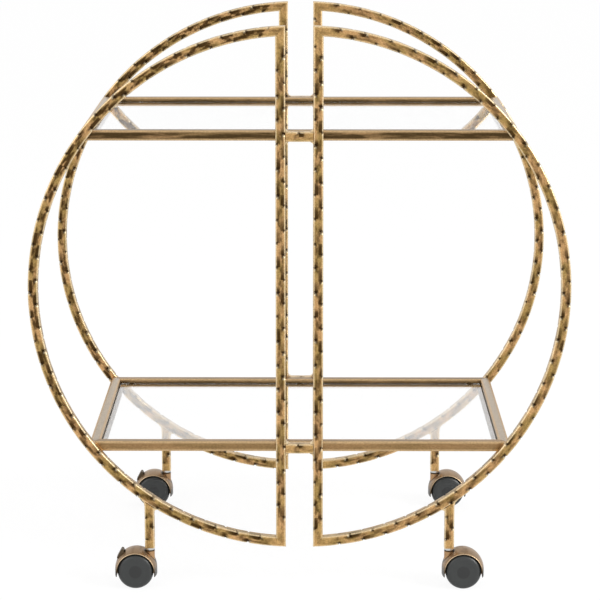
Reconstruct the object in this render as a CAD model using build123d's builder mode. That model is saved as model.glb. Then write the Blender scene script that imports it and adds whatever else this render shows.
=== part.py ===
"""Round bar cart on four swivel casters, in millimetres.

Four half-moon hoops of square tube stand in two pairs, front and rear. Each hoop is a
bent arc mitred to a straight post, and short bridges tie the two posts of a pair. Two
tube shelf frames hang between the pairs and carry drop-in glass. Short legs under the
arcs end in hooded twin-wheel casters, and the two on the left have a foot brake.

Z is up, X runs across the cart and the front looks along -Y. The origin is on the
floor under the middle of the cart.
"""
import os
from math import cos, radians, sin, sqrt

from build123d import *

# Square tube of the hoops, legs and shelf frames
TUBE = 14.5
TUBE_WALL = 1.5
TUBE_CORNER = 1.2

# Hoops: a pair of half moons, front and rear
HOOP_RADIUS = 377.0
HOOP_OFFSET = 8.5
HOOP_FLOOR_GAP = 60.0
POST_GAP = 39.0
CART_DEPTH = 420.0

# Shelves: heights of the frames from the hoop centre, and their glass
UPPER_SHELF_RISE = 221.75
LOWER_SHELF_DROP = 229.75
SHELF_OVERRUN = 4.0
LEDGE_WIDTH = 7.0
LEDGE_THICKNESS = 2.0
LEDGE_CORNER_GAP = 4.0
PAD_SIZE = 6.0
PAD_THICKNESS = 0.8
GLASS_THICKNESS = 5.0
GLASS_CLEARANCE = 1.0
GLASS_CORNER = 2.5

# Legs and the caster stems: plug in the leg, collar and swivel pin
LEG_SPACING = 434.0
FIT_CLEARANCE = 0.05
PLUG_LENGTH = 26.0
COLLAR_DIAMETER = 14.0
COLLAR_THICKNESS = 3.0
PIN_DIAMETER = 8.0
PIN_LENGTH = 20.0
RUNNING_GAP = 0.3

# Twin wheels and their axle
WHEEL_RADIUS = 26.0
WHEEL_WIDTH = 13.3
WHEEL_SHOULDER = 3.5
WHEEL_GAP = 14.4
RIM_THICKNESS = 6.3
WHEEL_DISC = 4.5
WHEEL_HUB_RADIUS = 7.5
AXLE_DIAMETER = 6.0
AXLE_END_COVER = 3.0

# Caster hood: crowned shell, centre web and swivel boss
CASTER_TRAIL = 20.5
HOOD_CLEARANCE = 1.2
HOOD_WALL = 3.3
HOOD_CROWN = 2.5
HOOD_FLAT = 21.0
HOOD_SKIRT = 7.4
HOOD_SET_IN = 0.5
WEB_THICKNESS = 6.0
BOSS_CLEARANCE = 0.3
BOSS_DROP = 1.8

# Foot brake of the left casters
BRAKE_PIN_DIAMETER = 3.0
BRAKE_PIN_ANGLE = 35.0
BRAKE_BAR_DIAMETER = 3.0
BRAKE_BAR_ARM = 3.5
BRAKE_BAR_REACH = 6.0
BRAKE_BAR_GAP = 0.7
CHEEK_THICKNESS = 2.5
CHEEK_CLEARANCE = 0.4
CHEEK_EYE = 3.6
TAB_HEEL_RADIUS = 2.3
TAB_HEEL_STANDOFF = 3.5
TAB_HEEL_ANGLE = 55.0
TAB_TOE_RADIUS = 1.7
TAB_TOE_STANDOFF = 0.6
TAB_TOE_ANGLE = 34.0
SLOT_ANGLES = (22.0, 61.0)

# Places that follow from the sizes above
hoop_z = HOOP_FLOOR_GAP + HOOP_RADIUS
hoop_y = (CART_DEPTH - TUBE) / 2
post_near = POST_GAP / 2
post_far = post_near + TUBE
shelf_depth = CART_DEPTH - 2 * TUBE
shelf_heights = {
    "upper": hoop_z + UPPER_SHELF_RISE,
    "lower": hoop_z - LOWER_SHELF_DROP,
}
leg_x = LEG_SPACING / 2
axle_x = leg_x + CASTER_TRAIL
wheel_inner = WHEEL_GAP / 2
wheel_outer = wheel_inner + WHEEL_WIDTH
rim_inner = WHEEL_RADIUS - RIM_THICKNESS
hood_inner = WHEEL_RADIUS + HOOD_CLEARANCE
hood_radius = hood_inner + HOOD_WALL
hood_half = wheel_outer - HOOD_SET_IN
hood_bottom = WHEEL_RADIUS - HOOD_SKIRT
boss_top = WHEEL_RADIUS + hood_radius - BOSS_DROP
boss_radius = wheel_inner - BOSS_CLEARANCE
collar_bottom = boss_top + RUNNING_GAP
leg_bottom = collar_bottom + COLLAR_THICKNESS
pin_bottom = collar_bottom - PIN_LENGTH
hub_inner = WEB_THICKNESS / 2 + RUNNING_GAP
cheek_inner = WEB_THICKNESS / 2 + CHEEK_CLEARANCE
cheek_outer = cheek_inner + CHEEK_THICKNESS
brake_bar_radius = BRAKE_BAR_DIAMETER / 2
brake_pin_reach = rim_inner - brake_bar_radius - BRAKE_BAR_GAP + BRAKE_BAR_ARM

SIDES = {"left": -1, "right": 1}
ROWS = {"front": -1, "rear": 1}


def hoop_plane(side, row):
    """Middle plane of a hoop: its X points outward across the cart and its Y points up."""
    return Plane(origin=(0, row * hoop_y, 0), x_dir=(side, 0, 0), z_dir=(0, -side, 0))


def axle_plane(side, row, face):
    """Upright plane along a caster's axle: its X points out to one face and its Y points up."""
    middle = (side * axle_x, row * hoop_y, WHEEL_RADIUS)
    return Plane(origin=middle, x_dir=(0, face, 0), z_dir=(face, 0, 0))


def rail_plane(width, edge, height):
    """Plane of a shelf rail: its X runs along the outer face and its Y points inward."""
    places = {
        "front": ((0, -shelf_depth / 2, height), (1, 0, 0)),
        "rear": ((0, shelf_depth / 2, height), (-1, 0, 0)),
        "left": ((-width / 2, 0, height), (0, -1, 0)),
        "right": ((width / 2, 0, height), (0, 1, 0)),
    }
    middle, along = places[edge]
    return Plane(origin=middle, x_dir=along, z_dir=(0, 0, 1))


def mitre_height(x):
    """Height above the hoop centre of the mitre line between arc and post."""
    inner_radius = HOOP_RADIUS - TUBE
    outer_tip = sqrt(HOOP_RADIUS**2 - (post_near - HOOP_OFFSET) ** 2)
    inner_tip = sqrt(inner_radius**2 - (post_far - HOOP_OFFSET) ** 2)
    return outer_tip + (inner_tip - outer_tip) * (x - post_near) / TUBE


def shelf_width(height):
    """Width of a shelf frame whose ends lie behind the arcs at this height."""
    middle_radius = HOOP_RADIUS - TUBE / 2
    reach = HOOP_OFFSET + sqrt(middle_radius**2 - (height - hoop_z) ** 2)
    return 2 * (reach + SHELF_OVERRUN)


def around_axle(radius, angle):
    """Point beside the axle in the hoop plane, by its radius and its angle above level."""
    turn = radians(angle)
    return (axle_x + radius * cos(turn), WHEEL_RADIUS + radius * sin(turn))


def post_band(inset):
    """Flat outline of a post, set in from the tube's faces and mitred at both ends."""
    near = post_near + inset
    far = post_far - inset
    with BuildSketch() as band:
        with BuildLine():
            Polyline(
                (near, hoop_z + mitre_height(near)),
                (far, hoop_z + mitre_height(far)),
                (far, hoop_z - mitre_height(far)),
                (near, hoop_z - mitre_height(near)),
                close=True,
            )
        make_face()
    return band.sketch


def rail_band(length, inset):
    """Flat outline of a shelf rail, set in from the tube's faces and mitred at both ends."""
    near = inset
    far = TUBE - inset
    with BuildSketch() as band:
        with BuildLine():
            Polyline(
                (-length / 2 + near, near),
                (length / 2 - near, near),
                (length / 2 - far, far),
                (-length / 2 + far, far),
                close=True,
            )
        make_face()
    return band.sketch


def tube_section():
    """Cross-section of the square tube: corners broken outside, plain bore."""
    bore = TUBE - 2 * TUBE_WALL
    with BuildSketch() as section:
        Rectangle(TUBE, TUBE)
        chamfer(section.vertices(), TUBE_CORNER)
        Rectangle(bore, bore, mode=Mode.SUBTRACT)
    return section.sketch


def build_arc(side, row):
    """Bent half-moon tube of one hoop, open at the mitres."""
    centre = (side * HOOP_OFFSET, row * hoop_y, hoop_z)
    past = post_near - TUBE
    far_side = -2 * HOOP_RADIUS
    with BuildPart() as arc:
        with BuildSketch(Plane(origin=centre, x_dir=(-side, 0, 0), z_dir=(0, 0, 1))):
            with Locations((HOOP_RADIUS - TUBE / 2, 0)):
                add(tube_section())
        revolve(axis=Axis(centre, (0, 1, 0)))
        with BuildSketch(hoop_plane(side, row)):
            with BuildLine():
                Polyline(
                    (post_far, hoop_z + mitre_height(post_far)),
                    (past, hoop_z + mitre_height(past)),
                    (far_side, hoop_z + mitre_height(past)),
                    (far_side, hoop_z - mitre_height(past)),
                    (past, hoop_z - mitre_height(past)),
                    (post_far, hoop_z - mitre_height(post_far)),
                    close=True,
                )
            make_face()
        extrude(amount=TUBE, both=True, mode=Mode.SUBTRACT)
    return arc


def build_post(side, row):
    """Straight upright tube of one hoop, mitred to the arc at both ends."""
    with BuildPart() as post:
        with BuildSketch(hoop_plane(side, row)):
            add(post_band(0))
        extrude(amount=TUBE / 2, both=True)
        chamfer(post.edges().filter_by(Axis.Z), TUBE_CORNER)
        with BuildSketch(hoop_plane(side, row)):
            add(post_band(TUBE_WALL))
        extrude(amount=TUBE / 2 - TUBE_WALL, both=True, mode=Mode.SUBTRACT)
    return post


def build_bridge(row, height):
    """Short tube between the two posts of a pair, level with a shelf frame."""
    with BuildPart() as bridge:
        with BuildSketch(Plane.YZ.offset(-post_near)):
            with Locations((row * hoop_y, height)):
                add(tube_section())
        extrude(amount=POST_GAP)
    return bridge


def build_rail(edge, height):
    """Tube along one edge of a shelf frame, mitred at both corners."""
    width = shelf_width(height)
    length = width if edge in ROWS else shelf_depth
    plane = rail_plane(width, edge, height)
    along = Axis.X if edge in ROWS else Axis.Y
    with BuildPart() as rail:
        with BuildSketch(plane):
            add(rail_band(length, 0))
        extrude(amount=TUBE / 2, both=True)
        chamfer(rail.edges().filter_by(along), TUBE_CORNER)
        with BuildSketch(plane):
            add(rail_band(length, TUBE_WALL))
        extrude(amount=TUBE / 2 - TUBE_WALL, both=True, mode=Mode.SUBTRACT)
    return rail


def build_ledge(height):
    """Four flat strips welded along the foot of a shelf frame, one to each rail."""
    width = shelf_width(height)
    with BuildPart() as ledge:
        for edge in ("front", "rear", "left", "right"):
            outer = width if edge in ROWS else shelf_depth
            length = outer - 2 * (TUBE + LEDGE_WIDTH + LEDGE_CORNER_GAP)
            with BuildSketch(rail_plane(width, edge, height - TUBE / 2)):
                with Locations((0, TUBE + LEDGE_WIDTH / 2)):
                    Rectangle(length, LEDGE_WIDTH)
            extrude(amount=LEDGE_THICKNESS)
    return ledge


def build_pads(height):
    """Clear bumper pads that keep a glass off its steel ledges."""
    x_span = shelf_width(height) / 2 - TUBE - 2 * LEDGE_WIDTH - LEDGE_CORNER_GAP
    y_span = shelf_depth - 2 * TUBE - LEDGE_WIDTH
    with BuildPart() as pads:
        with BuildSketch(Plane.XY.offset(height - TUBE / 2 + LEDGE_THICKNESS)):
            with GridLocations(x_span, y_span, 3, 2):
                Rectangle(PAD_SIZE, PAD_SIZE)
        extrude(amount=PAD_THICKNESS)
    return pads


def build_glass(height):
    """Clear pane dropped into a shelf frame."""
    inset = 2 * (TUBE + GLASS_CLEARANCE)
    seat = height - TUBE / 2 + LEDGE_THICKNESS + PAD_THICKNESS
    with BuildPart() as glass:
        with BuildSketch(Plane.XY.offset(seat)):
            RectangleRounded(shelf_width(height) - inset, shelf_depth - inset, GLASS_CORNER)
        extrude(amount=GLASS_THICKNESS)
    return glass


def build_leg(side, row):
    """Upright tube under an arc, saddled to the arc at its top."""
    with BuildPart() as leg:
        with BuildSketch(Plane.XY.offset(leg_bottom)):
            with Locations((side * leg_x, row * hoop_y)):
                add(tube_section())
        extrude(amount=hoop_z - leg_bottom)
        with BuildSketch(hoop_plane(side, row)):
            with Locations((HOOP_OFFSET, hoop_z)):
                Circle(HOOP_RADIUS)
        extrude(amount=TUBE, both=True, mode=Mode.SUBTRACT)
    return leg


def build_stems():
    """Four caster stems: a plug pressed into the leg, a collar under it and a swivel pin."""
    plug = TUBE - 2 * (TUBE_WALL + FIT_CLEARANCE)
    with BuildPart() as stems:
        with BuildSketch(Plane.XY.offset(pin_bottom)):
            with GridLocations(LEG_SPACING, 2 * hoop_y, 2, 2):
                Circle(PIN_DIAMETER / 2)
        extrude(amount=PIN_LENGTH)
        with BuildSketch(Plane.XY.offset(collar_bottom)):
            with GridLocations(LEG_SPACING, 2 * hoop_y, 2, 2):
                Circle(COLLAR_DIAMETER / 2)
        extrude(amount=COLLAR_THICKNESS)
        with BuildSketch(Plane.XY.offset(leg_bottom)):
            with GridLocations(LEG_SPACING, 2 * hoop_y, 2, 2):
                Rectangle(plug, plug)
        extrude(amount=PLUG_LENGTH)
    return stems


def hood_wall():
    """Cut across a hood's wall along the axle: full in the middle, thinner at the two rims."""
    rim = hood_radius - HOOD_CROWN
    with BuildSketch() as wall:
        with BuildLine():
            Polyline(
                (-hood_half, hood_inner),
                (-hood_half, rim),
                (-HOOD_FLAT / 2, hood_radius),
                (HOOD_FLAT / 2, hood_radius),
                (hood_half, rim),
                (hood_half, hood_inner),
                close=True,
            )
        make_face()
    return wall.sketch


def web_arch():
    """Outline of a hood's web: half a circle round the axle on straight sides, rooted in the wall."""
    radius = hood_inner + HOOD_WALL / 2
    with BuildSketch() as arch:
        with BuildLine():
            CenterArc((axle_x, WHEEL_RADIUS), radius, 0, 180)
            Polyline(
                (axle_x - radius, WHEEL_RADIUS),
                (axle_x - radius, hood_bottom),
                (axle_x + radius, hood_bottom),
                (axle_x + radius, WHEEL_RADIUS),
            )
        make_face()
    return arch.sketch


def build_hood(side, row, has_brake):
    """Moulded caster hood: crowned shell on straight skirts, centre web and swivel boss."""
    plane = hoop_plane(side, row)
    axle = (side * axle_x, row * hoop_y, WHEEL_RADIUS)
    level = Plane(origin=axle, x_dir=(0, 1, 0), z_dir=(0, 0, 1))
    with BuildPart() as hood:
        with BuildSketch(level):
            add(hood_wall())
        revolve(axis=Axis(axle, (0, 1, 0)), revolution_arc=180)
        with BuildSketch(level):
            add(hood_wall())
            mirror(about=Plane.XZ)
        extrude(amount=-HOOD_SKIRT)
        with BuildSketch(plane):
            add(web_arch())
        extrude(amount=WEB_THICKNESS / 2, both=True)
        with BuildSketch(Plane.XY.offset(WHEEL_RADIUS)):
            with Locations((side * leg_x, row * hoop_y)):
                Circle(boss_radius)
        extrude(amount=boss_top - WHEEL_RADIUS)
        with BuildSketch(Plane.XY.offset(pin_bottom - RUNNING_GAP)):
            with Locations((side * leg_x, row * hoop_y)):
                Circle(PIN_DIAMETER / 2 + FIT_CLEARANCE)
        extrude(amount=PIN_LENGTH + 2 * RUNNING_GAP, mode=Mode.SUBTRACT)
        with BuildSketch(plane):
            with Locations((axle_x, WHEEL_RADIUS)):
                Circle(AXLE_DIAMETER / 2)
        extrude(amount=WEB_THICKNESS, both=True, mode=Mode.SUBTRACT)
        if has_brake:
            with BuildSketch(plane):
                with BuildLine():
                    slot_top = hood_radius + HOOD_WALL
                    low, high = SLOT_ANGLES
                    Polyline(
                        around_axle(WHEEL_RADIUS, low),
                        around_axle(slot_top, low),
                        around_axle(slot_top, high),
                        around_axle(WHEEL_RADIUS, high),
                        close=True,
                    )
                make_face()
            extrude(amount=cheek_outer + CHEEK_CLEARANCE, both=True, mode=Mode.SUBTRACT)
            with BuildSketch(plane):
                with Locations(around_axle(brake_pin_reach, BRAKE_PIN_ANGLE)):
                    Circle(BRAKE_PIN_DIAMETER / 2)
            extrude(amount=WEB_THICKNESS, both=True, mode=Mode.SUBTRACT)
    return hood


def build_axle(side, row):
    """Steel pin through the web, which both wheels turn on."""
    with BuildPart() as axle:
        with BuildSketch(hoop_plane(side, row)):
            with Locations((axle_x, WHEEL_RADIUS)):
                Circle(AXLE_DIAMETER / 2)
        extrude(amount=wheel_outer - AXLE_END_COVER - RUNNING_GAP, both=True)
    return axle


def build_wheel(side, row, face):
    """Cup-shaped nylon wheel with a bevelled outer shoulder and a blind hub on the axle."""
    plane = axle_plane(side, row, face)
    bore = AXLE_DIAMETER / 2 + FIT_CLEARANCE
    bore_end = wheel_outer - AXLE_END_COVER
    disc_inner = wheel_outer - WHEEL_DISC
    with BuildPart() as wheel:
        with BuildSketch(plane):
            with BuildLine():
                Polyline(
                    (bore_end, 0),
                    (wheel_outer, 0),
                    (wheel_outer, WHEEL_RADIUS - WHEEL_SHOULDER),
                    (wheel_outer - WHEEL_SHOULDER, WHEEL_RADIUS),
                    (wheel_inner, WHEEL_RADIUS),
                    (wheel_inner, rim_inner),
                    (disc_inner, rim_inner),
                    (disc_inner, WHEEL_HUB_RADIUS),
                    (hub_inner, WHEEL_HUB_RADIUS),
                    (hub_inner, bore),
                    (bore_end, bore),
                    close=True,
                )
            make_face()
        revolve(axis=Axis(plane.origin, plane.x_dir))
    return wheel


def build_brake_lever(side, row):
    """Foot brake: two cheeks astride the web, bars inside the wheel rims and an outer tab."""
    plane = hoop_plane(side, row)
    pin = around_axle(brake_pin_reach, BRAKE_PIN_ANGLE)
    bar = around_axle(brake_pin_reach - BRAKE_BAR_ARM, BRAKE_PIN_ANGLE)
    heel = around_axle(hood_radius + TAB_HEEL_STANDOFF, TAB_HEEL_ANGLE)
    toe = around_axle(hood_radius + TAB_TOE_STANDOFF, TAB_TOE_ANGLE)
    with BuildPart() as lever:
        with BuildSketch(plane.offset(cheek_inner)):
            with Locations(pin):
                Circle(CHEEK_EYE)
            with Locations(bar):
                Circle(brake_bar_radius + CHEEK_CLEARANCE)
            with Locations(heel):
                Circle(TAB_HEEL_RADIUS)
            make_hull()
            with Locations(pin):
                Circle(BRAKE_PIN_DIAMETER / 2 + FIT_CLEARANCE, mode=Mode.SUBTRACT)
        extrude(amount=CHEEK_THICKNESS)
        with BuildSketch(plane.offset(cheek_outer)):
            with Locations(bar):
                Circle(brake_bar_radius)
        extrude(amount=BRAKE_BAR_REACH)
        mirror(about=plane)
        with BuildSketch(plane):
            with Locations(heel):
                Circle(TAB_HEEL_RADIUS)
            with Locations(toe):
                Circle(TAB_TOE_RADIUS)
            make_hull()
        extrude(amount=cheek_outer, both=True)
    return lever


def build_brake_pin(side, row):
    """Pin through the web that the brake lever turns on."""
    with BuildPart() as pin:
        with BuildSketch(hoop_plane(side, row)):
            with Locations(around_axle(brake_pin_reach, BRAKE_PIN_ANGLE)):
                Circle(BRAKE_PIN_DIAMETER / 2)
        extrude(amount=cheek_outer, both=True)
    return pin


def save(piece, name):
    """Label a finished piece and write it out."""
    piece.part.label = name
    export_step(piece.part, f"parts/{name}.step")


os.makedirs("parts", exist_ok=True)

for row_name, row in ROWS.items():
    for side_name, side in SIDES.items():
        corner = f"{row_name}_{side_name}"
        braked = side_name == "left"
        save(build_arc(side, row), f"{corner}_arc")
        save(build_post(side, row), f"{corner}_post")
        save(build_leg(side, row), f"{corner}_leg")
        save(build_hood(side, row, braked), f"{corner}_caster_hood")
        save(build_axle(side, row), f"{corner}_caster_axle")
        for face_name, face in ROWS.items():
            save(build_wheel(side, row, face), f"{corner}_caster_{face_name}_wheel")
        if braked:
            save(build_brake_lever(side, row), f"{corner}_brake_lever")
            save(build_brake_pin(side, row), f"{corner}_brake_pin")

for shelf_name, height in shelf_heights.items():
    for row_name, row in ROWS.items():
        save(build_bridge(row, height), f"{row_name}_{shelf_name}_bridge")
    for edge in (*ROWS, *SIDES):
        save(build_rail(edge, height), f"{shelf_name}_shelf_{edge}_rail")
    save(build_ledge(height), f"{shelf_name}_shelf_ledge")
    save(build_pads(height), f"{shelf_name}_shelf_pads")
    save(build_glass(height), f"{shelf_name}_shelf_glass")

save(build_stems(), "caster_stems")
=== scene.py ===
"""Round bar cart: the visual model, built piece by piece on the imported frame, in metres."""

from math import asin, cos, pi, radians, sin, sqrt, tan

import bmesh
import bpy
from mathutils import Matrix, Vector


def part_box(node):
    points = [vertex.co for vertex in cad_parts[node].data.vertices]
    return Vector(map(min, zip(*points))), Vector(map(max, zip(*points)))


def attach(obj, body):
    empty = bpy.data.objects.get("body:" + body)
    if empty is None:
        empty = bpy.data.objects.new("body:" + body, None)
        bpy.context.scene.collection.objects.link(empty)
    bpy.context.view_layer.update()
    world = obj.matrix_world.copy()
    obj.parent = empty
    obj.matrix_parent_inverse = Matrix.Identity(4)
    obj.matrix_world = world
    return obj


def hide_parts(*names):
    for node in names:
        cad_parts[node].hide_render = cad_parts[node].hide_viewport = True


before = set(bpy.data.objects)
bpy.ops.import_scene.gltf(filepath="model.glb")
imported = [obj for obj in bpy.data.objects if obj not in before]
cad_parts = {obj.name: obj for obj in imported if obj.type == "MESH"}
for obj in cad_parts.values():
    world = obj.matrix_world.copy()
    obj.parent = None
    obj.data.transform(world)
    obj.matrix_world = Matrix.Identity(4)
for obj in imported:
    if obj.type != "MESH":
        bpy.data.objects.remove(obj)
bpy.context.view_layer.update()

# Hoops. Four half moons of steel square tube, bent, mitred to their posts and welded, with legs and
# bridges of the same tube. All are beaten along the corners with a cold chisel, brass plated, and
# antiqued with a dark wash that stays in the dents.
HOOP_RADIUS = 0.377
CORNER_ROUND = 0.0019
CORNER_STEPS = 6
SECTION_POINTS = 56
MOST_SIDE_CORNERS = 5.0
RING_STEP = 0.0012
RING_GATHER = 0.04
GATHER_END = 0.02
NICK_PITCH = 0.0350
NICK_RISE = 0.0019
NICK_RUN = 0.0032
NICK_REACH = 0.0066
NICK_DEPTH = 0.0023
NICK_DRIFT = 0.06
NICK_FORCE = (0.65, 1.3)
BEAK_SPREAD, BEAK_MOUTH = 1.1, 0.7
BEAK_EDGE, BEAK_TIP = (1.25, 0.6), (1.0, 0.5)
SIDE_BEAK = 0.4
LIP_DROP = 0.95
LIP_EDGE, LIP_TIP = (0.6, 0.2), (0.7, 0.2)
RIPPLE = 0.0006
RIPPLE_SCALE = 55.0
POOL_LENGTH = 0.021
POOL_REACH = 0.0115
POOL_CORE = 0.25
POOL_FOOT = (-0.0022, 0.001)
POOL_DRAWN = (0.5, 1.9)
POOL_SPREAD = (0.7, 1.5)
POOL_STRENGTH = (0.5, 1.7)
RAGGED_SCALE = 150.0
RAGGED_RUN = 0.005
RAGGED_REACH = 0.007
PLAIN_END = 0.022
PLAIN_SHORT_END = 0.012
PLAIN_FADE = (0.8, 1.2)
# Wash on the left and right arcs: antique wash, with the left arcs made darker as painted shade
ARC_WASH_AND_SHADE = {"left": (0.95, 1.5), "right": (0.85, 0.88)}
SIDES = {"left": -1, "right": 1}
ROWS = {"front": -1, "rear": 1}


def add_node(tree, kind, feeds=None, **settings):
    """Add a node, set it up, and feed its inputs with values or with other nodes' outputs."""
    node = tree.nodes.new(kind)
    for name, value in settings.items():
        setattr(node, name, value)
    for key, feed in (feeds or {}).items():
        if isinstance(feed, bpy.types.NodeSocket):
            tree.links.new(feed, node.inputs[key])
        else:
            node.inputs[key].default_value = feed
    return node


def calc(tree, operation, *values):
    """Math node on up to three values."""
    return add_node(tree, "ShaderNodeMath", dict(enumerate(values)), operation=operation).outputs[0]


def times(tree, product, *values):
    """Product of two or more values."""
    for value in values:
        product = calc(tree, "MULTIPLY", product, value)
    return product


def blend(tree, share, low, high):
    """Value between low and high by a share from 0 to 1."""
    return add_node(tree, "ShaderNodeMix", {"Factor": share, "A": low, "B": high}).outputs["Result"]


def fade(tree, value, start, end):
    """Smooth step from 0 at start to 1 at end."""
    feeds = {"Value": value, "From Min": start, "From Max": end}
    step = add_node(tree, "ShaderNodeMapRange", feeds, interpolation_type="SMOOTHSTEP")
    return step.outputs["Result"]


def split(tree, vector):
    """The three numbers of a vector."""
    return add_node(tree, "ShaderNodeSeparateXYZ", {0: vector}).outputs


def open_tree(name, inputs):
    """Geometry Nodes tree with these named inputs and one shape as its result."""
    tree = bpy.data.node_groups.new(name, "GeometryNodeTree")
    for socket, kind in inputs:
        tree.interface.new_socket(socket, in_out="INPUT", socket_type="NodeSocket" + kind)
    tree.interface.new_socket("Geometry", in_out="OUTPUT", socket_type="NodeSocketGeometry")
    return tree, tree.nodes.new("NodeGroupInput").outputs


def sweep(tree, rings, section):
    """Closed bar of this section, from 0 to 1 along X, with so many rings."""
    line = add_node(tree, "GeometryNodeCurvePrimitiveLine", {"Start": (0, 0, 0), "End": (1, 0, 0)})
    spine = add_node(tree, "GeometryNodeResampleCurve", {"Curve": line.outputs[0], "Count": rings})
    feeds = {"Curve": spine.outputs[0], "Profile Curve": section, "Fill Caps": True}
    return add_node(tree, "GeometryNodeCurveToMesh", feeds).outputs[0]


def close_tree(tree, shape, material):
    """End a Geometry Nodes tree with real faces in one material."""
    shape = add_node(tree, "GeometryNodeRealizeInstances", {"Geometry": shape}).outputs[0]
    feeds = {"Geometry": shape, "Material": material}
    shape = add_node(tree, "GeometryNodeSetMaterial", feeds).outputs[0]
    tree.links.new(shape, tree.nodes.new("NodeGroupOutput").inputs[0])
    return tree


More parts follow.
